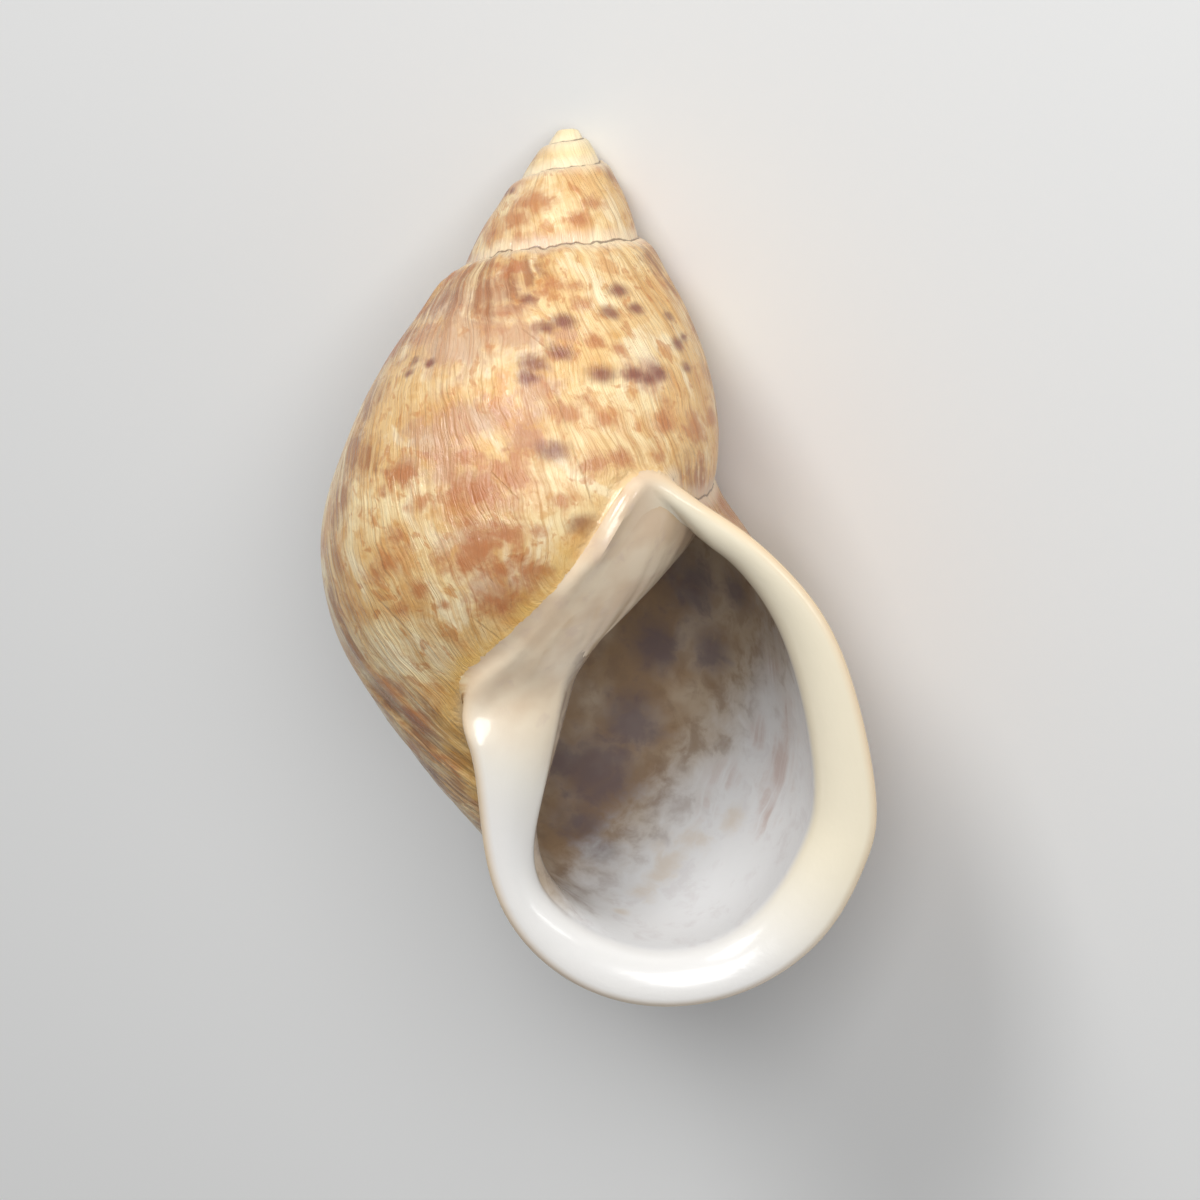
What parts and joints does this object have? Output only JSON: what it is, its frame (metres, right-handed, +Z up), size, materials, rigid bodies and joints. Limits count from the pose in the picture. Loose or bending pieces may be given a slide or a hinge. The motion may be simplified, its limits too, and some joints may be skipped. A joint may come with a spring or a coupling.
{
  "type": "land snail shell",
  "caption": "Empty shell of a large tropical land snail: a right-handed coil with a pointed spire, a swollen last whorl and a wide mouth with a turned-out lip.",
  "frame": {"origin": "middle of the shell's box, on the surface that it rests on", "axes": "+Z up, out of the mouth; +Y along the length, towards the tip of the spire; +X towards the outer lip"},
  "size_m": [0.039, 0.0574, 0.0289],
  "materials": {
    "shell": "glossy cream with rust-brown spots and cloudy blotches outside, porcelain-like at the lip"
  },
  "bodies": {
    "root": {"shell": "shell"}
  },
  "joints": []
}
